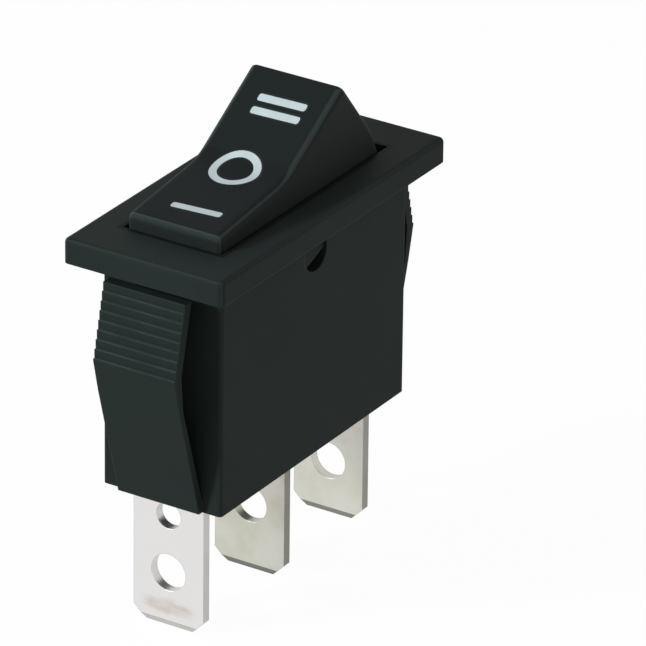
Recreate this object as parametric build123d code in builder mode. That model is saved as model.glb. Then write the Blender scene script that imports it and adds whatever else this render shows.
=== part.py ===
"""Narrow snap-in rocker switch, single pole, three positions (I, O, II), with three blade terminals.

Frame: millimetres, +Z out of the panel, origin at the centre of the flange's underside, where the
panel's face lies. X runs along the switch, and the I end is at -X. The rocker is drawn with its
I end pressed.
"""

import os
from math import cos, radians, sin, sqrt, tan

from build123d import *

os.makedirs("parts", exist_ok=True)

# ---------------------------------------------------------------- driving sizes
# Housing: the flange that rests on the panel and the box behind it
flange_length = 31.3
flange_width = 14.2
flange_thickness = 2.05
flange_corner_radius = 0.45
flange_edge_radius = 0.4
body_length = 25.9
body_width = 10.65
body_depth = 19.05
body_corner_radius = 0.3
end_wall = 1.35
side_wall = 0.92
floor_thickness = 1.5

# Snap arms: one springy leaf at each end, held at the floor and free under the flange
arm_width = 7.3
arm_thickness = 0.9
arm_ramp_thickness = 0.5
arm_root_reach = 0.45
arm_tip_reach = 2.45
arm_crest_reach = 3.8
arm_crest_depth = 6.6
arm_crest_height = 0.15
arm_shoulder_reach = 3.15
arm_shoulder_depth = 9.5
arm_tip_gap = 0.75
arm_teeth = 8
arm_root_height = 0.9

# Rocker: a hollow cap with a shallow V on top, turning on two side trunnions
rocker_tilt = 19.5
pivot_depth = 2.05
rocker_end_clearance = 0.22
rocker_side_clearance = 0.25
rocker_valley_height = 6.9
rocker_face_slope = 12.6
rocker_valley_radius = 5.0
rocker_edge_radius = 0.65
rocker_end_radius = 0.35
rocker_wall = 1.2
rocker_skirt_angle = 5.0
rocker_keel_depth = 3.0
rocker_keel_half = 3.2
trunnion_radius = 1.47
trunnion_clearance = 0.08
trunnion_recess = 0.25
trunnion_bevel = 0.55
trunnion_bevel_height = 0.85

# Legends: white marks let into the rocker's top
legend_depth = 0.12
legend_stroke = 0.65
legend_corner_radius = 0.2
legend_length = 4.25
legend_two_pitch = 1.2
legend_ring_radius = 2.02
legend_ring_stroke = 0.62
# Along the rocker, across it, and turned, as the marks came out of the press
legend_spots = {"legend_one": (-6.45, -0.35, 4), "legend_off": (-0.48, 0.16, 0), "legend_two": (5.67, -0.2, 1.3)}

# Stem, plunger and coil spring inside the rocker
stem_radius = 3.0
plunger_stand_out = 2.4
bore_radius = 1.6
bore_depth_above_pivot = 3.4
plunger_clearance = 0.06
plunger_nose_radius = 1.2
plunger_shank_length = 4.6
plunger_pin_radius = 0.75
plunger_pin_length = 2.2
spring_wire_radius = 0.17
spring_coil_radius = 1.25
spring_turns = 8
spring_end_gap = 0.05

# Contact bridge: a formed strip that tips on the common terminal
bridge_ratio = 0.4
bridge_thickness = 0.6
bridge_width = 6.0
bridge_waist = 5.0
bridge_notch = 1.5
bridge_length = 18.8
bridge_knee = 5.7
bridge_seat = 0.26
bridge_gap = 0.1
trough_margin = 0.3

# Silver contacts, riveted to the bridge and to the outer terminals
contact_place = 8.0
contact_radius = 1.5
contact_crown = 0.2
moving_contact_height = 0.55
fixed_contact_height = 0.7
contact_shank_radius = 0.75
contact_rivet_radius = 1.05
contact_rivet_height = 0.22
contact_gap = 0.1

# Terminals: 6.3 mm blades, shouldered on the floor
blade_width = 6.35
blade_thickness = 0.8
blade_length = 11.2
blade_wall = 1.25
blade_shift = -0.3
blade_corner = 1.1
blade_corner_height = 1.1
blade_bevel = 0.2
blade_bevel_height = 0.5
shoulder_width = 7.4
slot_clearance = 0.05
eye_radius = 1.55
end_eye_height = 4.6
common_eye_height = 5.65
wire_hole_radius = 1.1
wire_hole_height = 9.45
shelf_rise = 1.62
shelf_inner_end = 5.8
bend_radius = 0.4
rib_thickness = 0.7
rib_setback = 0.1
fulcrum_radius = 0.4
fulcrum_clearance = 0.06
horn_height = 1.4
horn_clearance = 0.1
jog_height = 0.5

# ---------------------------------------------------------------- places that follow from them
opening_length = body_length - 2 * end_wall
opening_width = body_width - 2 * side_wall
floor_top = floor_thickness - body_depth
blade_tip = -body_depth - blade_length
blade_pitch = body_length / 2 - blade_wall - blade_thickness / 2

rocker_reach = opening_length / 2 - rocker_end_clearance
rocker_width = opening_width - 2 * rocker_side_clearance
trunnion_end = body_width / 2 - trunnion_recess

# The bridge tips by a share of the rocker's tilt until one moving contact meets its fixed one.
bridge_tilt = rocker_tilt * bridge_ratio
contact_tilt = radians(bridge_tilt)
contact_drop = moving_contact_height - bridge_seat
shelf_bottom = floor_top + shelf_rise
shelf_top = shelf_bottom + blade_thickness
fixed_contact_x = contact_place * cos(contact_tilt) - contact_drop * sin(contact_tilt)
fixed_contact_top = shelf_top + fixed_contact_height
fulcrum_drop = contact_place * sin(contact_tilt) + contact_drop * cos(contact_tilt) + contact_gap
fulcrum_depth = -fixed_contact_top - fulcrum_drop

# The plunger spans from the pivot to the bridge, and its nose swings along a trough in the bridge.
strip_top = bridge_seat + bridge_thickness
nose_height = strip_top + bridge_gap + plunger_nose_radius
nose_swing = fulcrum_depth - pivot_depth - nose_height
plunger_reach = nose_swing + plunger_nose_radius
plunger_shoulder_reach = plunger_reach - plunger_shank_length
stem_reach = plunger_reach - plunger_stand_out
# Seen from the tipping bridge, the nose's path is close to a circle of this radius.
nose_path_radius = (nose_swing - bridge_ratio * nose_height) ** 2 / (
    nose_swing * (1 + 2 * bridge_ratio) - nose_height * bridge_ratio**2
)
trough_radius = nose_path_radius + plunger_nose_radius + bridge_gap
nose_lift = fulcrum_depth - pivot_depth - nose_swing * cos(radians(rocker_tilt))
nose_across = nose_swing * sin(radians(rocker_tilt)) * cos(contact_tilt) - nose_lift * sin(contact_tilt)
trough_half = nose_across * trough_radius / nose_path_radius + trough_margin
trough_rise = trough_radius - sqrt(trough_radius**2 - trough_half**2)

end_blade_x = {"terminal_1": blade_shift - blade_pitch, "terminal_2": blade_shift + blade_pitch}
end_side = {"terminal_1": -1, "terminal_2": 1}


def tilted_plane(depth, tilt):
    """The XZ plane at this depth below the panel, turned about Y so that a positive tilt lowers +X."""
    turn = radians(tilt)
    return Plane(origin=(0, 0, -depth), x_dir=(cos(turn), 0, -sin(turn)), z_dir=(0, -1, 0))


rocker_plane = tilted_plane(pivot_depth, -rocker_tilt)
rocker_up = rocker_plane.y_dir
bridge_plane = tilted_plane(fulcrum_depth, bridge_tilt)


def raised(plane, up, across=0):
    """The same plane with its origin moved within itself."""
    spot = plane.origin + plane.x_dir * across + plane.y_dir * up
    return Plane(origin=spot, x_dir=plane.x_dir, z_dir=plane.z_dir)


def level(plane, up, across=0):
    """A plane square to another plane's up direction, at the point (across, up) of that plane."""
    spot = raised(plane, up, across).origin
    return Plane(origin=spot, x_dir=plane.x_dir, z_dir=plane.y_dir)


# ---------------------------------------------------------------- housing
def arm_outline(side):
    """The side view of one snap arm: stepped teeth, a crest, and a long ramp to the floor."""
    wall = body_length / 2
    tooth_height = (arm_crest_depth - arm_tip_gap) / arm_teeth
    tooth_step = (arm_crest_reach - arm_tip_reach) / arm_teeth
    points = [(wall + arm_tip_reach, -arm_tip_gap)]
    for tooth in range(1, arm_teeth + 1):
        ledge = -arm_tip_gap - tooth * tooth_height
        points.append((wall + arm_tip_reach + (tooth - 1) * tooth_step, ledge))
        points.append((wall + arm_tip_reach + tooth * tooth_step, ledge))
    points.append((wall + arm_crest_reach, -arm_crest_depth - arm_crest_height))
    points.append((wall + arm_shoulder_reach, -arm_shoulder_depth))
    points.append((wall + arm_root_reach, -body_depth))
    points.append((wall - end_wall / 2, -body_depth))
    points.append((wall - end_wall / 2, -body_depth + arm_root_height))
    points.append((wall, -body_depth + arm_root_height))
    points.append((wall + arm_shoulder_reach - arm_ramp_thickness, -arm_shoulder_depth))
    points.append((wall + arm_crest_reach - arm_thickness, -arm_crest_depth))
    points.append((wall + arm_tip_reach - arm_thickness, -arm_tip_gap))
    return [(side * x, z) for x, z in points]


with BuildPart() as housing:
    with BuildSketch(Plane.XY):
        RectangleRounded(flange_length, flange_width, flange_corner_radius)
    extrude(amount=flange_thickness)
    fillet(housing.edges().group_by(Axis.Z)[-1], flange_edge_radius)
    with BuildSketch(Plane.XY):
        RectangleRounded(body_length, body_width, body_corner_radius)
    extrude(amount=-body_depth)
    for side in (-1, 1):
        with BuildSketch(Plane.XZ):
            with BuildLine():
                Polyline(*arm_outline(side), close=True)
            make_face()
        extrude(amount=arm_width / 2, both=True)
    with BuildSketch(Plane.XY.offset(flange_thickness)):
        Rectangle(opening_length, opening_width)
    extrude(amount=floor_top - flange_thickness, mode=Mode.SUBTRACT)
    with BuildSketch(Plane.XZ):
        with Locations((0, -pivot_depth)):
            Circle(trunnion_radius + trunnion_clearance)
    extrude(amount=body_width, both=True, mode=Mode.SUBTRACT)
    with BuildSketch(Plane.XY.offset(floor_top)):
        for side in (-1, 1):
            with Locations((side * (shelf_inner_end + rib_thickness / 2 + rib_setback), 0)):
                Rectangle(rib_thickness, opening_width)
    extrude(amount=shelf_bottom - floor_top)
    with BuildSketch(Plane.XY.offset(-body_depth)):
        for x in (*end_blade_x.values(), blade_shift):
            with Locations((x, 0)):
                Rectangle(blade_thickness + 2 * slot_clearance, blade_width + 2 * slot_clearance)
    extrude(amount=floor_thickness, mode=Mode.SUBTRACT)
    with BuildSketch(Plane.XY.offset(floor_top)):
        for x in end_blade_x.values():
            with Locations((x, 0)):
                Rectangle(blade_thickness + 2 * slot_clearance, shoulder_width + 2 * slot_clearance)
    extrude(amount=shelf_top + slot_clearance - floor_top, mode=Mode.SUBTRACT)
    housing.part.label = "housing"


# ---------------------------------------------------------------- rocker
def cap_outline(reach, valley, skirt_angle, keel):
    """A closed side view of the rocker cap: a V on top, leaning ends that turn into round skirts."""
    lean = radians(rocker_tilt)
    slope = tan(radians(rocker_face_slope))
    corner_x = (reach - valley * sin(lean)) / (cos(lean) + slope * sin(lean))
    corner_y = valley + corner_x * slope
    skirt = radians(skirt_angle)
    valley_half = rocker_valley_radius * sin(radians(rocker_face_slope))
    valley_low = valley + valley_half * slope - rocker_valley_radius * (1 - cos(radians(rocker_face_slope)))
    half = [
        (valley_half, valley + valley_half * slope),
        (corner_x, corner_y),
        (reach * cos(lean), reach * sin(lean)),
    ]
    skirt_end = (reach * cos(skirt), -reach * sin(skirt))
    mid = (lean - skirt) / 2
    with BuildSketch() as outline:
        with BuildLine():
            TangentArc((0, valley_low), half[0], tangent=(1, 0))
            Polyline(*half)
            ThreePointArc(half[-1], (reach * cos(mid), reach * sin(mid)), skirt_end)
            Polyline(skirt_end, (rocker_keel_half, -keel), (0, -keel), (0, valley_low))
        make_face()
        mirror(about=Plane.YZ)
    return outline.sketch


def legend_marks(name):
    """The plan of one legend: a bar, two bars or a ring."""
    along, across, turn = legend_spots[name]
    with Locations(Location((along, across), turn)):
        if name == "legend_off":
            Circle(legend_ring_radius)
            Circle(legend_ring_radius - legend_ring_stroke, mode=Mode.SUBTRACT)
        elif name == "legend_one":
            RectangleRounded(legend_stroke, legend_length, legend_corner_radius)
        else:
            with Locations((-legend_two_pitch / 2, 0), (legend_two_pitch / 2, 0)):
                RectangleRounded(legend_stroke, legend_length, legend_corner_radius)


legends = {}
for name in ("legend_one", "legend_off", "legend_two"):
    with BuildPart() as legend:
        with BuildSketch(rocker_plane):
            add(cap_outline(rocker_reach, rocker_valley_height, rocker_skirt_angle, rocker_keel_depth))
        extrude(amount=rocker_width / 2, both=True)
        with BuildSketch(raised(rocker_plane, -legend_depth)):
            add(cap_outline(rocker_reach, rocker_valley_height, rocker_skirt_angle, rocker_keel_depth))
        extrude(amount=rocker_width, both=True, mode=Mode.SUBTRACT)
        with BuildSketch(level(rocker_plane, 0)):
            legend_marks(name)
        extrude(amount=rocker_reach, mode=Mode.INTERSECT)
        legend.part.label = name
    legends[name] = legend

with BuildPart() as rocker:
    with BuildSketch(rocker_plane):
        add(cap_outline(rocker_reach, rocker_valley_height, rocker_skirt_angle, rocker_keel_depth))
    extrude(amount=rocker_width / 2, both=True)
    top_faces = [face for face in rocker.faces() if face.normal_at().dot(rocker_up) > cos(radians(20))]
    rim = [edge for face in top_faces for edge in face.edges()]
    fillet([edge for edge in rim if abs(edge.center().Y) > rocker_width / 4], rocker_edge_radius)
    end_faces = [face for face in rocker.faces() if abs(face.normal_at().dot(rocker_plane.x_dir)) > 0.9]
    end_rim = [edge for face in end_faces for edge in face.edges()]
    end_line = rocker_reach * sin(radians(rocker_tilt)) + rocker_edge_radius
    fillet(
        [edge for edge in end_rim if (edge.center() - rocker_plane.origin).dot(rocker_up) > end_line],
        rocker_end_radius,
    )
    with BuildSketch(rocker_plane):
        add(cap_outline(rocker_reach - rocker_wall, rocker_valley_height - rocker_wall, 60, rocker_reach))
    extrude(amount=rocker_width / 2 - rocker_wall, both=True, mode=Mode.SUBTRACT)
    with BuildSketch(level(rocker_plane, -stem_reach)):
        Circle(stem_radius)
    extrude(amount=stem_reach + rocker_valley_height - rocker_wall)
    with BuildSketch(rocker_plane):
        Circle(trunnion_radius)
    extrude(amount=trunnion_end, both=True)
    with BuildSketch(level(rocker_plane, -stem_reach)):
        Circle(bore_radius)
    extrude(amount=stem_reach + bore_depth_above_pivot, mode=Mode.SUBTRACT)
    with BuildSketch(Plane(origin=rocker_plane.origin, x_dir=(0, 1, 0), z_dir=rocker_plane.x_dir)):
        with BuildLine():
            Polyline(
                (trunnion_end, trunnion_bevel_height - trunnion_radius),
                (body_width, trunnion_bevel_height - trunnion_radius),
                (body_width, -trunnion_radius),
                (trunnion_end - trunnion_bevel, -trunnion_radius),
                close=True,
            )
        make_face()
        mirror(about=Plane.YZ)
    extrude(amount=trunnion_radius, both=True, mode=Mode.SUBTRACT)
    for legend in legends.values():
        add(legend.part, mode=Mode.SUBTRACT)
    rocker.part.label = "rocker"

# ---------------------------------------------------------------- plunger and spring
with BuildPart() as plunger:
    shank_radius = bore_radius - plunger_clearance
    with BuildSketch(rocker_plane):
        with BuildLine():
            CenterArc((0, -nose_swing), plunger_nose_radius, -90, 90)
            Polyline(
                (plunger_nose_radius, -nose_swing),
                (shank_radius, -nose_swing + shank_radius - plunger_nose_radius),
                (shank_radius, -plunger_shoulder_reach),
                (plunger_pin_radius, -plunger_shoulder_reach),
                (plunger_pin_radius, plunger_pin_length - plunger_shoulder_reach),
                (0, plunger_pin_length - plunger_shoulder_reach),
                (0, -plunger_reach),
            )
        make_face()
    revolve(axis=Axis(rocker_plane.origin, rocker_up))
    plunger.part.label = "plunger"

with BuildPart() as spring:
    spring_foot = spring_wire_radius + spring_end_gap - plunger_shoulder_reach
    spring_height = bore_depth_above_pivot - spring_end_gap - spring_wire_radius - spring_foot
    with BuildLine() as coil:
        Helix(
            pitch=spring_height / spring_turns,
            height=spring_height,
            radius=spring_coil_radius,
            center=raised(rocker_plane, spring_foot).origin,
            direction=rocker_up,
        )
    with BuildSketch(Plane(origin=coil.line @ 0, z_dir=coil.line % 0)):
        Circle(spring_wire_radius)
    sweep(path=coil.line, is_frenet=True)
    spring.part.label = "spring"

# ---------------------------------------------------------------- contact bridge
with BuildPart() as bridge:
    with BuildSketch(bridge_plane):
        with BuildLine():
            ThreePointArc(
                (-trough_half, strip_top + trough_rise), (0, strip_top), (trough_half, strip_top + trough_rise)
            )
            for side in (-1, 1):
                Polyline(
                    (side * trough_half, strip_top + trough_rise),
                    (side * bridge_knee, strip_top),
                    (side * bridge_length / 2, strip_top),
                )
            offset(amount=bridge_thickness, side=Side.RIGHT)
        make_face()
    extrude(amount=bridge_width / 2, both=True)
    with BuildSketch(bridge_plane):
        Circle(fulcrum_radius + fulcrum_clearance)
    extrude(amount=bridge_width, both=True, mode=Mode.SUBTRACT)
    with BuildSketch(level(bridge_plane, 0)):
        for side in (-1, 1):
            with Locations((0, side * (bridge_waist + bridge_width) / 2)):
                Rectangle(bridge_notch, bridge_width)
            with Locations((side * contact_place, 0)):
                Circle(contact_shank_radius)
    extrude(amount=strip_top + trough_rise, mode=Mode.SUBTRACT)
    bridge.part.label = "contact_bridge"


# ---------------------------------------------------------------- silver contacts
def rivet_outline(head_height, grip):
    """Half the section of a contact rivet: head below, shank through the strip, upset end above."""
    with BuildSketch() as outline:
        with BuildLine():
            TangentArc((0, -head_height), (contact_radius, contact_crown - head_height), tangent=(1, 0))
            Polyline(
                (contact_radius, contact_crown - head_height),
                (contact_radius, 0),
                (contact_shank_radius, 0),
                (contact_shank_radius, grip),
                (contact_rivet_radius, grip),
            )
            TangentArc((0, grip + contact_rivet_height), (contact_rivet_radius, grip), tangent=(1, 0))
            Line((0, grip + contact_rivet_height), (0, -head_height))
        make_face()
    return outline.sketch


def rivet(plane, head_height, grip, label):
    """One contact rivet on a plane whose up direction runs from the head into the strip."""
    with BuildPart() as contact:
        with BuildSketch(plane):
            add(rivet_outline(head_height, grip))
        revolve(axis=Axis(plane.origin, plane.y_dir))
        contact.part.label = label
    return contact


contacts = []
for number, side in ((1, -1), (2, 1)):
    strip_spot = raised(bridge_plane, bridge_seat, side * contact_place)
    contacts.append(rivet(strip_spot, moving_contact_height, bridge_thickness, f"moving_contact_{number}"))
    shelf_spot = Plane(origin=(side * fixed_contact_x, 0, shelf_top), x_dir=(1, 0, 0), z_dir=(0, 1, 0))
    contacts.append(rivet(shelf_spot, fixed_contact_height, blade_thickness, f"fixed_contact_{number}"))


# ---------------------------------------------------------------- terminals
def blade_face(top, eye_height):
    """The face of a blade, seen along X: shoulders above the floor, tab below, and its eye."""
    with BuildSketch() as face:
        with BuildLine():
            Polyline(
                (0, top),
                (shoulder_width / 2, top),
                (shoulder_width / 2, floor_top),
                (blade_width / 2, floor_top),
                (blade_width / 2, blade_tip + blade_corner_height),
                (blade_width / 2 - blade_corner, blade_tip),
                (0, blade_tip),
                close=True,
            )
        make_face()
        mirror(about=Plane.YZ)
        with Locations((0, blade_tip + eye_height)):
            Circle(eye_radius, mode=Mode.SUBTRACT)
    return face.sketch


def bevel_tip(terminal):
    """Thin the blade's tip on both faces, as a lead for the push-on connector."""
    tip_face = terminal.faces().sort_by(Axis.Z)[0]
    edges = tip_face.edges().filter_by(Axis.Y)
    chamfer(edges, length=blade_bevel, length2=blade_bevel_height, reference=tip_face)


end_terminals = []
for name, x in end_blade_x.items():
    side = end_side[name]
    outer = x + side * blade_thickness / 2
    inner = x - side * blade_thickness / 2
    with BuildPart() as terminal:
        with BuildSketch(Plane.XZ):
            with BuildLine():
                FilletPolyline(
                    (outer, blade_tip),
                    (outer, shelf_top),
                    (side * shelf_inner_end, shelf_top),
                    radius=bend_radius + blade_thickness,
                )
                Line((side * shelf_inner_end, shelf_top), (side * shelf_inner_end, shelf_bottom))
                FilletPolyline(
                    (side * shelf_inner_end, shelf_bottom),
                    (inner, shelf_bottom),
                    (inner, blade_tip),
                    radius=bend_radius,
                )
                Line((inner, blade_tip), (outer, blade_tip))
            make_face()
        extrude(amount=shoulder_width / 2, both=True)
        with BuildSketch(Plane.YZ):
            add(blade_face(shelf_top, end_eye_height))
        extrude(amount=body_length, both=True, mode=Mode.INTERSECT)
        with BuildSketch(Plane.XY.offset(shelf_bottom)):
            with Locations((side * fixed_contact_x, 0)):
                Circle(contact_shank_radius)
        extrude(amount=blade_thickness, mode=Mode.SUBTRACT)
        if side < 0:
            with BuildSketch(Plane.YZ.offset(x)):
                with Locations((0, blade_tip + wire_hole_height)):
                    Circle(wire_hole_radius)
            extrude(amount=blade_thickness, both=True, mode=Mode.SUBTRACT)
        bevel_tip(terminal)
        terminal.part.label = name
    end_terminals.append(terminal)

with BuildPart() as common:
    half = blade_thickness / 2
    horn_top = horn_height - fulcrum_depth
    jog_top = floor_top + 2 * jog_height
    with BuildSketch(Plane.XZ):
        with BuildLine():
            Polyline(
                (blade_shift - half, blade_tip),
                (blade_shift - half, floor_top + jog_height),
                (-half, jog_top),
                (-half, horn_top),
                (half, horn_top),
                (half, jog_top),
                (blade_shift + half, floor_top + jog_height),
                (blade_shift + half, blade_tip),
                close=True,
            )
        make_face()
    extrude(amount=shoulder_width / 2, both=True)
    with BuildSketch(Plane.YZ):
        add(blade_face(horn_top, common_eye_height))
    extrude(amount=body_length, both=True, mode=Mode.INTERSECT)
    with BuildSketch(Plane.XY.offset(horn_top)):
        Rectangle(2 * blade_thickness, bridge_waist + 2 * horn_clearance)
    extrude(amount=-horn_height, mode=Mode.SUBTRACT)
    with BuildSketch(tilted_plane(fulcrum_depth, 0)):
        Circle(fulcrum_radius)
    extrude(amount=bridge_waist / 2 + horn_clearance, both=True)
    bevel_tip(common)
    common.part.label = "terminal_common"

# ---------------------------------------------------------------- files
pieces = [housing, rocker, *legends.values(), plunger, spring, bridge, *contacts, *end_terminals, common]
for piece in pieces:
    export_step(piece.part, f"parts/{piece.part.label}.step")
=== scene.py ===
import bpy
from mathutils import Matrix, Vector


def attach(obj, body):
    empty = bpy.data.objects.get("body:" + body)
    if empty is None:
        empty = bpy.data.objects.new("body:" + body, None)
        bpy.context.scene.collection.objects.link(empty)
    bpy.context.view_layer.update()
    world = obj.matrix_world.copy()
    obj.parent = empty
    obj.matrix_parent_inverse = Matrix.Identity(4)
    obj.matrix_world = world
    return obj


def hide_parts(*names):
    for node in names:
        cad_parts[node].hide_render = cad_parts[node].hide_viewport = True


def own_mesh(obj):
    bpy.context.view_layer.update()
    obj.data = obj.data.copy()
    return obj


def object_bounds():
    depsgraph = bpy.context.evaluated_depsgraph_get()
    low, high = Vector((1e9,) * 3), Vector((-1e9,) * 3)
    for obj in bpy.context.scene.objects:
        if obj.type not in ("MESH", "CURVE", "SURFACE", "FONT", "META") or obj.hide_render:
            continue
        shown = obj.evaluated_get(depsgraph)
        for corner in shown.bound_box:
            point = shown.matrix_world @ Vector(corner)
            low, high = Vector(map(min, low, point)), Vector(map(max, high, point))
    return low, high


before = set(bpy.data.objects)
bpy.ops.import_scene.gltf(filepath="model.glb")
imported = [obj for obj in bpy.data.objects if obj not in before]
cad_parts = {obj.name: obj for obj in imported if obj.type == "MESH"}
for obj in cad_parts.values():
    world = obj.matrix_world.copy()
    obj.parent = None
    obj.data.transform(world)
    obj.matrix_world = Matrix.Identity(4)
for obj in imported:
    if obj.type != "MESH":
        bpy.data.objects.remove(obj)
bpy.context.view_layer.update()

from math import cos, radians, sin, tau

import bpy
from mathutils import Matrix, Vector

MM = 0.001


# ---------------------------------------------------------------- camera
# A long lens looks down on the I end and the long side, a little off level. It stands more than half a
# metre away, so that the upright edges stay nearly parallel.
azimuth, elevation, roll = radians(-57.79), radians(25.98), radians(0.69)
aside, drop, distance = 5.003, 8.48, 586.62
back = Vector((sin(azimuth) * cos(elevation), -cos(azimuth) * cos(elevation), sin(elevation)))
level_right = Vector((cos(azimuth), sin(azimuth), 0))
level_up = back.cross(level_right)
right = level_right * cos(roll) + level_up * sin(roll)
up = level_up * cos(roll) - level_right * sin(roll)
camera = bpy.data.objects.new("camera", bpy.data.cameras.new("camera"))
camera.data.sensor_width = 36
camera.data.lens = 432.17
camera.data.clip_start, camera.data.clip_end = 0.05, 20
turn = Matrix((right, up, back)).transposed().to_4x4()
camera.matrix_world = Matrix.Translation((right * aside - up * drop + back * distance) * MM) @ turn
bpy.context.scene.collection.objects.link(camera)
bpy.context.scene.camera = camera
bpy.context.scene.view_settings.view_transform = "Standard"


# ---------------------------------------------------------------- studio
# Materials, the world and the modelling trees are all written with these two classes: a Tree makes
# nodes, and a Wire is one output of a node, on which arithmetic adds Math nodes.
class Wire:
    def __init__(self, tree, socket):
        self.tree, self.socket = tree, socket

    def math(self, operation, *values):
        return self.tree.node("ShaderNodeMath", {"operation": operation}, dict(enumerate(values)))

    def __add__(self, other):
        return self.math("ADD", self, other)

    def __sub__(self, other):
        return self.math("SUBTRACT", self, other)

    def __rsub__(self, other):
        return self.math("SUBTRACT", other, self)

    def __mul__(self, other):
        return self.math("MULTIPLY", self, other)

    __radd__, __rmul__ = __add__, __mul__

    def above(self, low, high):
        """0 below low and 1 over high, with a smooth step between; low may be the larger."""
        settings = {"interpolation_type": "SMOOTHSTEP"}
        return self.tree.node(
            "ShaderNodeMapRange", settings, {"Value": self, "From Min": low, "From Max": high}
        )

    def size(self):
        return self.math("ABSOLUTE", self)

    def root(self):
        return self.math("SQRT", self)

    def most(self, other):
        return self.math("MAXIMUM", self, other)


class Tree:
    def __init__(self, owner):
        self.owner, self.made = owner, owner.nodes
        owner.nodes.clear()

    def node(self, kind, settings=None, inputs=None, output=0):
        """A node of this kind, with its settings, then its inputs; returns one of its outputs."""
        made = self.made.new(kind)
        for name, value in (settings or {}).items():
            setattr(made, name, value)
        for name, value in (inputs or {}).items():
            socket = made.inputs[name]
            if isinstance(value, Wire):
                self.owner.links.new(value.socket, socket)
            else:
                socket.default_value = value
        return Wire(self, made.outputs[output]) if made.outputs else made

    def mix(self, factor, first, second):
        """One colour over another, by a factor."""
        settings = {"data_type": "RGBA"}
        return self.node("ShaderNodeMix", settings, {0: factor, 6: first, 7: second}, 2)


def paint(red, green, blue):
    """An opaque colour for a colour socket, from its linear parts."""
    return (red, green, blue, 1)


def seen_by(tree):
    """1 for camera, glossy and transmission rays, and 0 for the light that falls on the object."""
    camera_ray = tree.node("ShaderNodeLightPath", output="Is Camera Ray")
    glossy_ray = tree.node("ShaderNodeLightPath", output="Is Glossy Ray")
    through_ray = tree.node("ShaderNodeLightPath", output="Is Transmission Ray")
    return camera_ray.most(glossy_ray).most(through_ray)


world = bpy.data.worlds.new("studio")
world.use_nodes = True
bpy.context.scene.world = world
tree = Tree(world.node_tree)
sky_seen, sky_on_switch = 1.0, 0.36
sky_light = seen_by(tree) * (sky_seen - sky_on_switch) + sky_on_switch
sky = tree.node("ShaderNodeBackground", None, {"Color": paint(1, 1, 1), "Strength": sky_light})
tree.node("ShaderNodeOutputWorld", None, {"Surface": sky})

floor_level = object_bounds()[0].z
floor_half = 2.5
floor_signs = [(-1, -1), (1, -1), (1, 1), (-1, 1)]
floor_corners = [(x * floor_half, y * floor_half, floor_level) for x, y in floor_signs]
floor_mesh = bpy.data.meshes.new("floor")
floor_mesh.from_pydata(floor_corners, [], [(0, 1, 2, 3)])
floor = bpy.data.objects.new("floor", floor_mesh)
bpy.context.scene.collection.objects.link(floor)
floor_paper = bpy.data.materials.new("floor_paper")
floor_paper.use_nodes = True
tree = Tree(floor_paper.node_tree)
paper = tree.node("ShaderNodeBsdfDiffuse", None, {"Color": paint(0.93, 0.93, 0.93)})
glow = tree.node("ShaderNodeEmission", None, {"Color": paint(1, 1, 1), "Strength": 1.0})
glow_share = 0.97
blend = tree.node("ShaderNodeMixShader", None, {0: seen_by(tree) * glow_share, 1: paper, 2: glow})
tree.node("ShaderNodeOutputMaterial", None, {"Surface": blend})
floor_mesh.materials.append(floor_paper)

switch_middle = Vector((0, 0, -8)) * MM


def soft_lamp(name, place, width, power, colour):
    """A square area lamp at a place in millimetres, turned towards the middle of the switch."""
    lamp = bpy.data.objects.new(name, bpy.data.lights.new(name, "AREA"))
    lamp.data.size = width * MM
    lamp.data.energy = power
    lamp.data.color = colour
    place = Vector(place) * MM
    turned = (place - switch_middle).to_track_quat("Z", "Y").to_matrix().to_4x4()
    lamp.matrix_world = Matrix.Translation(place) @ turned
    bpy.context.scene.collection.objects.link(lamp)


soft_lamp("key_lamp", (-330, 235, 185), 60, 1.75, (0.82, 1.0, 0.96))
soft_lamp("fill_lamp", (-60, -440, 20), 160, 0.34, (1.0, 0.92, 0.94))


# ---------------------------------------------------------------- housing
# One moulding in black polyamide: flange, box, side holes for the trunnions, and a springy stepped arm at
# each end. Its faces have the fine spark texture of the mould. Its edges are paled partly by rubbing and
# partly as painted highlight, the flange's rounded edges and the tops of the arms' steps carry painted
# highlights, and the lip of the rocker's opening carries painted shade.
def new_finish(name):
    """An empty material and its tree."""
    material = bpy.data.materials.new(name)
    material.use_nodes = True
    return material, Tree(material.node_tree)


def object_place(tree):
    """The object coordinates, and their three parts in metres."""
    place = tree.node("ShaderNodeTexCoord", output="Object")
    parts = [tree.node("ShaderNodeSeparateXYZ", None, {0: place}, axis) for axis in range(3)]
    return place, *parts


def cloud(tree, place, scale, detail=3.0, roughness=0.55):
    """Noise between 0 and 1 with this many features to a metre."""
    inputs = {"Vector": place, "Scale": scale, "Detail": detail, "Roughness": roughness}
    return tree.node("ShaderNodeTexNoise", None, inputs)


def rounded(tree, radius):
    """The normal of edges rounded to this radius, and a mask that is 1 on those edges."""
    soft = tree.node("ShaderNodeBevel", {"samples": 6}, {"Radius": radius})
    plain = tree.node("ShaderNodeNewGeometry", output="Normal")
    likeness = tree.node("ShaderNodeVectorMath", {"operation": "DOT_PRODUCT"}, {0: soft, 1: plain}, 1)
    return soft, (1 - likeness).above(0.002, 0.08)


def dress(node, material):
    """Give a CAD node this material in all its slots."""
    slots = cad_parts[node].data.materials
    slots.clear()
    slots.append(material)


# In millimetres: the rocker's opening in the flange, the box's end along X, and the levels above the
# panel's face of the flange's top, the arms' free ends and crests, and the rocker's pressed end face.
opening_half_length, opening_half_width, box_end = 11.6, 4.4, 12.95
flange_top, arm_end, arm_crest = 2.05, -0.75, -6.6
pressed_face_foot, pressed_face_head = 2.64, 2.99


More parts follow.
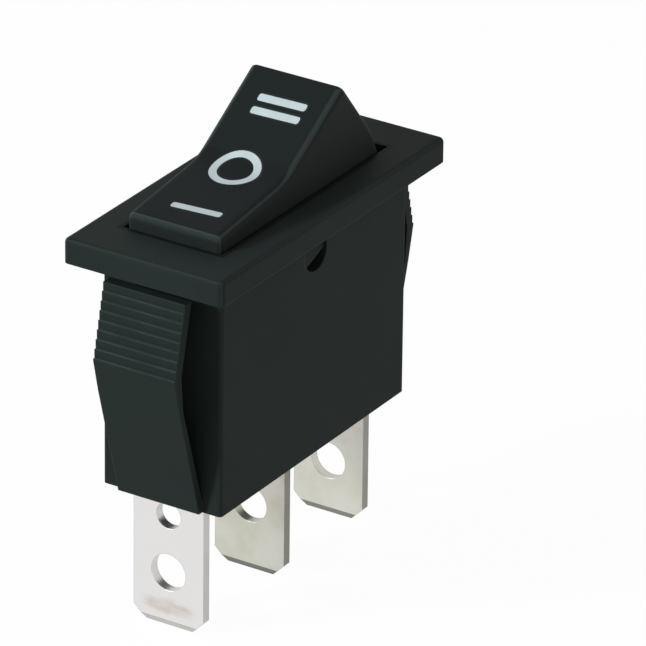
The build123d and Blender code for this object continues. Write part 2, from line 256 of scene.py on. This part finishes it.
def black_moulding(name, deep, pale, rub_and_highlight, softness, painted_top_shade=0.0, rim=0.0, step_highlight_and_lip_shade=0.0):
    """Black plastic with spark texture, softness in millimetres, whose rounded edges are paled partly by
    rubbing and partly as painted highlight. The last three shares set painted light: the first darkens
    its level top as painted shade, the second pales its soft edges above the panel and the top band of
    the pressed end face as painted highlight, and the third pales the tops of the snap arms' steps as
    painted highlight and darkens the lip of the rocker's opening as painted shade."""
    material, tree = new_finish(name)
    place, x, y, z = object_place(tree)
    soft, edge = rounded(tree, softness * MM)
    patches = cloud(tree, place, 160).above(0.3, 0.7)
    specks = cloud(tree, place, 2600, 2).above(0.35, 0.75)
    colour = tree.mix(patches * 0.7 + specks * 0.15, paint(*deep), paint(*pale))
    facing = tree.node("ShaderNodeTexCoord", output="Normal")
    along, across, upward = (
        tree.node("ShaderNodeSeparateXYZ", None, {0: facing}, axis).size() for axis in range(3)
    )
    # Painted shade: level tops are darkened.
    colour = tree.mix(upward.above(0.7, 0.88) * painted_top_shade, colour, paint(0.0070, 0.0084, 0.0090))
    # Painted highlight: soft rounded edges above the panel, and the top band of the pressed end face, are
    # paled.
    soft_rim = along.most(across).most(upward).above(0.86, 0.76)
    pressed_end = along.above(0.5, 0.8) * x.above(-9 * MM, -10 * MM)
    end_band_highlight = pressed_end * z.above(pressed_face_foot * MM, pressed_face_head * MM)
    above_panel = z.above(-0.4 * MM, 0.0)
    colour = tree.mix(soft_rim.most(end_band_highlight * 0.5) * above_panel * rim, colour, paint(*rub_and_highlight))
    # Painted highlight: the tops of the snap arms' steps are paled, in random patches.
    on_arm = z.above((arm_crest - 1.4) * MM, (arm_crest - 0.9) * MM)
    on_arm = on_arm * z.above((arm_end - 0.1) * MM, (arm_end - 0.25) * MM)
    on_arm = on_arm * x.size().above((box_end - 0.05) * MM, (box_end + 0.15) * MM)
    step_highlight_patches = cloud(tree, place, 300).above(0.35, 0.65) * 0.6 + 0.4
    step_top = upward.above(0.7, 0.9) * on_arm * step_highlight_patches
    colour = tree.mix(step_top * step_highlight_and_lip_shade, colour, paint(0.066, 0.086, 0.081))
    # Painted shade: the flange's top next to the rocker's opening is darkened.
    past_length, past_width = x.size() - opening_half_length * MM, y.size() - opening_half_width * MM
    lip = past_length.most(past_width).above(0.42 * MM, 0.28 * MM)
    lip = lip * z.above((flange_top - 0.15) * MM, (flange_top - 0.05) * MM)
    colour = tree.mix(lip * step_highlight_and_lip_shade, colour, paint(0.0045, 0.0050, 0.0050))
    # Rounded edges are paled partly by rubbing and partly as painted highlight.
    colour = tree.mix(edge * 0.55, colour, paint(*rub_and_highlight))
    rough = 0.62 + patches * 0.06 - edge * 0.1
    grain = cloud(tree, place, 5200, 2, 0.6)
    bump = tree.node(
        "ShaderNodeBump",
        None,
        {"Strength": 0.35, "Distance": 0.012 * MM, "Height": grain, "Normal": soft},
    )
    surface = tree.node(
        "ShaderNodeBsdfPrincipled",
        None,
        {
            "Base Color": colour,
            "Roughness": rough,
            "Specular IOR Level": 0.08,
            "Normal": bump,
        },
    )
    tree.node("ShaderNodeOutputMaterial", None, {"Surface": surface})
    return material


housing_plastic = black_moulding(
    "black_polyamide",
    deep=(0.0115, 0.0165, 0.0155),
    pale=(0.0155, 0.0205, 0.0195),
    rub_and_highlight=(0.030, 0.040, 0.038),
    softness=0.14,
    rim=0.45,
    step_highlight_and_lip_shade=1.0,
)
dress("housing", housing_plastic)


# ---------------------------------------------------------------- rocker
# A hollow black cap with a shallow V on top, moulded with its stem and two side trunnions, and snapped
# into the housing's side holes. Its level top is darkened as painted shade. Its rounded edges are paled
# partly by rubbing and partly as painted highlight, and the top band of its pressed end face is paled as
# painted highlight.
rocker_plastic = black_moulding(
    "black_rocker",
    deep=(0.0128, 0.0152, 0.0155),
    pale=(0.0170, 0.0200, 0.0203),
    rub_and_highlight=(0.040, 0.052, 0.049),
    softness=0.4,
    painted_top_shade=0.75,
    rim=0.85,
)
dress("rocker", rocker_plastic)


# ---------------------------------------------------------------- legends
# White ink fills the shallow pockets of the marks I, O and II in the rocker's top. It has dried matt and
# a little cool, and is thin in places.
legend_ink, tree = new_finish("white_ink")
place, x, y, z = object_place(tree)
soft, edge = rounded(tree, 0.1 * MM)
thin = cloud(tree, place, 900).above(0.35, 0.7)
colour = tree.mix(thin * 0.5 + edge * 0.4, paint(0.61, 0.64, 0.68), paint(0.51, 0.56, 0.60))
grain = cloud(tree, place, 3000)
bump = tree.node("ShaderNodeBump", None, {"Strength": 0.4, "Distance": 0.01 * MM, "Height": grain})
surface = tree.node(
    "ShaderNodeBsdfPrincipled",
    None,
    {
        "Base Color": colour,
        "Roughness": 0.55 + thin * 0.1,
        "Specular IOR Level": 0.3,
        "Normal": bump,
    },
)
tree.node("ShaderNodeOutputMaterial", None, {"Surface": surface})
for mark in ("legend_one", "legend_off", "legend_two"):
    dress(mark, legend_ink)


# ---------------------------------------------------------------- terminals
# Three flat tabs stamped from brass strip and silver plated, and pushed into the floor from below. The
# punched edges are dulled, and the coined leads at the tips, which face down, are darkened and dulled as
# a painted reflection of the shaded floor. The faces have a faint grain along the strip, and air has
# warmed the plating. The first one has a brown smear above its tip. The common and second tabs' plate is
# painted darker than the first's, as painted shade.
def plated_brass(name, bright, warm, eyes, smear_level, warmth, dullness_and_shade):
    """Silver plate on one terminal; eyes are (level, radius), with all sizes in millimetres."""
    material, tree = new_finish(name)
    place, x, y, z = object_place(tree)
    soft, edge = rounded(tree, 0.1 * MM)
    stretched = tree.node("ShaderNodeMapping", None, {"Vector": place, "Scale": (1, 1, 0.12)})
    grain = cloud(tree, stretched, 4200, 2, 0.6)
    patches = cloud(tree, place, 420).above(0.35, 0.7)
    colour = tree.mix(patches * warmth, paint(*bright), paint(*warm))
    waves = cloud(tree, place, 700) * (0.9 * MM)
    smear = (z + waves - smear_level * MM).size().above(0.9 * MM, 0.1 * MM)
    smear = smear * y.size().above(2.7 * MM, 1.4 * MM)
    flat = tree.node("ShaderNodeMapping", None, {"Vector": place, "Scale": (1, 0.18, 1)})
    streaks = cloud(tree, flat, 2600, 3, 0.6).above(0.38, 0.68)
    colour = tree.mix(smear * (0.3 + streaks * 0.36), colour, paint(0.50, 0.42, 0.37))
    facing = tree.node("ShaderNodeTexCoord", output="Normal")
    across, upward = (
        tree.node("ShaderNodeSeparateXYZ", None, {0: facing}, axis).size() for axis in (1, 2)
    )
    dull_and_shaded = across.above(0.75, 0.95) * dullness_and_shade
    # Painted reflection: tip bevels, which face down, are darkened and dulled for the shaded floor they
    # reflect.
    dull_and_shaded = dull_and_shaded.most(upward.above(0.12, 0.3) * dullness_and_shade * 1.2)
    for level, radius in eyes:
        away = (y * y + (z - level * MM) * (z - level * MM)).root()
        clear = away.above((radius + 0.01) * MM, (radius + 0.06) * MM)
        dull_and_shaded = dull_and_shaded * clear + (1 - clear) * 0.12
    dull_and_shaded = dull_and_shaded.most(edge * 0.25)
    colour = tree.mix(dull_and_shaded, colour, paint(0.16, 0.15, 0.135))
    bump = tree.node(
        "ShaderNodeBump",
        None,
        {"Strength": 0.25, "Distance": 0.01 * MM, "Height": grain + patches * 0.4, "Normal": soft},
    )
    surface = tree.node(
        "ShaderNodeBsdfPrincipled",
        None,
        {
            "Base Color": colour,
            "Roughness": 0.36 + patches * 0.08,
            "Metallic": 1 - dull_and_shaded * 0.5,
            "Normal": bump,
        },
    )
    tree.node("ShaderNodeOutputMaterial", None, {"Surface": surface})
    return material


# A smear level past the tips leaves a tab without a smear.
past_tip = -31
big_eye, small_eye = 1.55, 1.1
first_plate = plated_brass(
    "plated_tab_1",
    bright=(0.76, 0.735, 0.73),
    warm=(0.71, 0.68, 0.665),
    eyes=((-25.65, big_eye), (-20.8, small_eye)),
    smear_level=-28.2,
    warmth=0.5,
    dullness_and_shade=0.35,
)
# Painted shade: the common and second tabs' plate colours are darker than the first's for the shade they
# stand in; their warmer tint is tarnish.
common_plate = plated_brass(
    "plated_tab_common",
    bright=(0.62, 0.61, 0.55),
    warm=(0.54, 0.52, 0.44),
    eyes=((-24.6, big_eye),),
    smear_level=past_tip,
    warmth=0.8,
    dullness_and_shade=0.85,
)
second_plate = plated_brass(
    "plated_tab_2",
    bright=(0.66, 0.65, 0.59),
    warm=(0.60, 0.58, 0.51),
    eyes=((-25.65, big_eye),),
    smear_level=past_tip,
    warmth=0.8,
    dullness_and_shade=0.75,
)
dress("terminal_1", first_plate)
dress("terminal_common", common_plate)
dress("terminal_2", second_plate)


# ---------------------------------------------------------------- contact bridge
# A strip of bare copper, bent so that it tips on the common terminal's round top as the plunger pushes
# it. It has soft stains and the fine grain of drawn metal.
def bare_metal(name, clean, stained, rough):
    """Bare metal with soft stains and a fine drawn grain."""
    material, tree = new_finish(name)
    place, x, y, z = object_place(tree)
    soft, edge = rounded(tree, 0.08 * MM)
    stains = cloud(tree, place, 500).above(0.35, 0.7)
    colour = tree.mix(stains * 0.8, paint(*clean), paint(*stained))
    bump = tree.node(
        "ShaderNodeBump",
        None,
        {"Strength": 0.25, "Distance": 0.01 * MM, "Height": cloud(tree, place, 3600), "Normal": soft},
    )
    surface = tree.node(
        "ShaderNodeBsdfPrincipled",
        None,
        {"Base Color": colour, "Roughness": rough + stains * 0.1, "Metallic": 1.0, "Normal": bump},
    )
    tree.node("ShaderNodeOutputMaterial", None, {"Surface": surface})
    return material


bridge_copper = bare_metal("copper_strip", (0.80, 0.42, 0.24), (0.55, 0.27, 0.15), 0.3)
dress("contact_bridge", bridge_copper)


# ---------------------------------------------------------------- contacts
# Small silver-faced rivets, two set into the bridge's ends and two into the shelves of the outer
# terminals. They are a little smoother than the strip.
contact_silver = bare_metal("contact_silver", (0.80, 0.79, 0.76), (0.60, 0.58, 0.52), 0.28)
for rivet in ("moving_contact_1", "moving_contact_2", "fixed_contact_1", "fixed_contact_2"):
    dress(rivet, contact_silver)


# ---------------------------------------------------------------- plunger
# A pin moulded in natural white acetal. It slides in the bore of the rocker's stem, pushed out by the
# spring, and rides on the bridge.
acetal, tree = new_finish("white_acetal")
place, x, y, z = object_place(tree)
soft, edge = rounded(tree, 0.1 * MM)
smears = cloud(tree, place, 600).above(0.4, 0.75)
colour = tree.mix(smears * 0.5, paint(0.72, 0.70, 0.63), paint(0.55, 0.53, 0.47))
bump = tree.node(
    "ShaderNodeBump",
    None,
    {"Strength": 0.2, "Distance": 0.01 * MM, "Height": cloud(tree, place, 2600), "Normal": soft},
)
surface = tree.node(
    "ShaderNodeBsdfPrincipled",
    None,
    {"Base Color": colour, "Roughness": 0.38 + smears * 0.1, "Normal": bump},
)
tree.node("ShaderNodeOutputMaterial", None, {"Surface": surface})
dress("plunger", acetal)


# ---------------------------------------------------------------- spring
# A compression spring of steel wire between the bore's end and the plunger's shoulder. Its end turns are
# closed, so that it stands square. The real spring shortens as the plunger is pushed in; here it is built
# at one height.
spring_wire = bare_metal("spring_wire", (0.62, 0.62, 0.61), (0.46, 0.45, 0.43), 0.3)
coil_group = bpy.data.node_groups.new("closed_coil", "GeometryNodeTree")
coil_sizes = {"Turns": 8.0, "Coil Radius": 1.25 * MM, "Wire Radius": 0.17 * MM, "Height": 8.0 * MM}
for name, value in coil_sizes.items():
    size_input = coil_group.interface.new_socket(name, in_out="INPUT", socket_type="NodeSocketFloat")
    size_input.default_value = value
coil_group.interface.new_socket("Geometry", in_out="OUTPUT", socket_type="NodeSocketGeometry")
tree = Tree(coil_group)
turns, coil_radius, wire_radius, height = (
    tree.node("NodeGroupInput", output=number) for number in range(4)
)
points_on_wire, closed_turns = 385, 0.9
line = tree.node("GeometryNodeCurvePrimitiveLine", None, {"End": (0, 0, 1)})
line = tree.node("GeometryNodeResampleCurve", None, {"Curve": line, "Count": points_on_wire})
passed = tree.node("GeometryNodeSplineParameter") * turns
open_span = {"Value": passed, "From Min": closed_turns, "From Max": turns - closed_turns}
open_share = tree.node("ShaderNodeMapRange", None, open_span)
climb = passed * wire_radius * 2 + open_share * (height - turns * wire_radius * 2)
angle = passed * tau
cosine, sine = angle.math("COSINE", angle), angle.math("SINE", angle)
spot = tree.node("ShaderNodeCombineXYZ", None, {0: cosine * coil_radius, 1: sine * coil_radius, 2: climb})
line = tree.node("GeometryNodeSetPosition", None, {"Geometry": line, "Position": spot})
ring = tree.node("GeometryNodeCurvePrimitiveCircle", None, {"Resolution": 14, "Radius": wire_radius})
swept = {"Curve": line, "Profile Curve": ring, "Fill Caps": True}
wire = tree.node("GeometryNodeCurveToMesh", None, swept)
wire = tree.node("GeometryNodeRealizeInstances", None, {"Geometry": wire})
wire = tree.node("GeometryNodeSetMaterial", None, {"Geometry": wire, "Material": spring_wire})
tree.node("NodeGroupOutput", None, {"Geometry": wire})


def grown(name, group, sizes):
    """The plain mesh that a modelling tree makes with these input sizes, as a new object."""
    holder = bpy.data.objects.new(name + "_tree", bpy.data.meshes.new(name + "_tree"))
    bpy.context.scene.collection.objects.link(holder)
    modifier = holder.modifiers.new("tree", "NODES")
    modifier.node_group = group
    for item in group.interface.items_tree:
        if item.in_out == "INPUT" and item.name in sizes:
            modifier[item.identifier] = sizes[item.name]
    evaluated = holder.evaluated_get(bpy.context.evaluated_depsgraph_get())
    made = bpy.data.meshes.new_from_object(evaluated)
    bpy.data.objects.remove(holder)
    piece = bpy.data.objects.new(name, made)
    bpy.context.scene.collection.objects.link(piece)
    return piece


pivot_level, bore_top, shoulder = -2.05, 3.4, -5.347
rocker_lean = radians(-19.5)
wire_to_seat = 0.22
spring_foot = shoulder + wire_to_seat
spring_height = bore_top - wire_to_seat - spring_foot
spring = grown("coil_spring", coil_group, {"Height": spring_height * MM})
rocker_place = Matrix.Translation((0, 0, pivot_level * MM)) @ Matrix.Rotation(rocker_lean, 4, "Y")
spring.data.transform(rocker_place @ Matrix.Translation((0, 0, spring_foot * MM)))
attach(spring, "rocker")
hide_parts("spring")
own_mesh(spring)
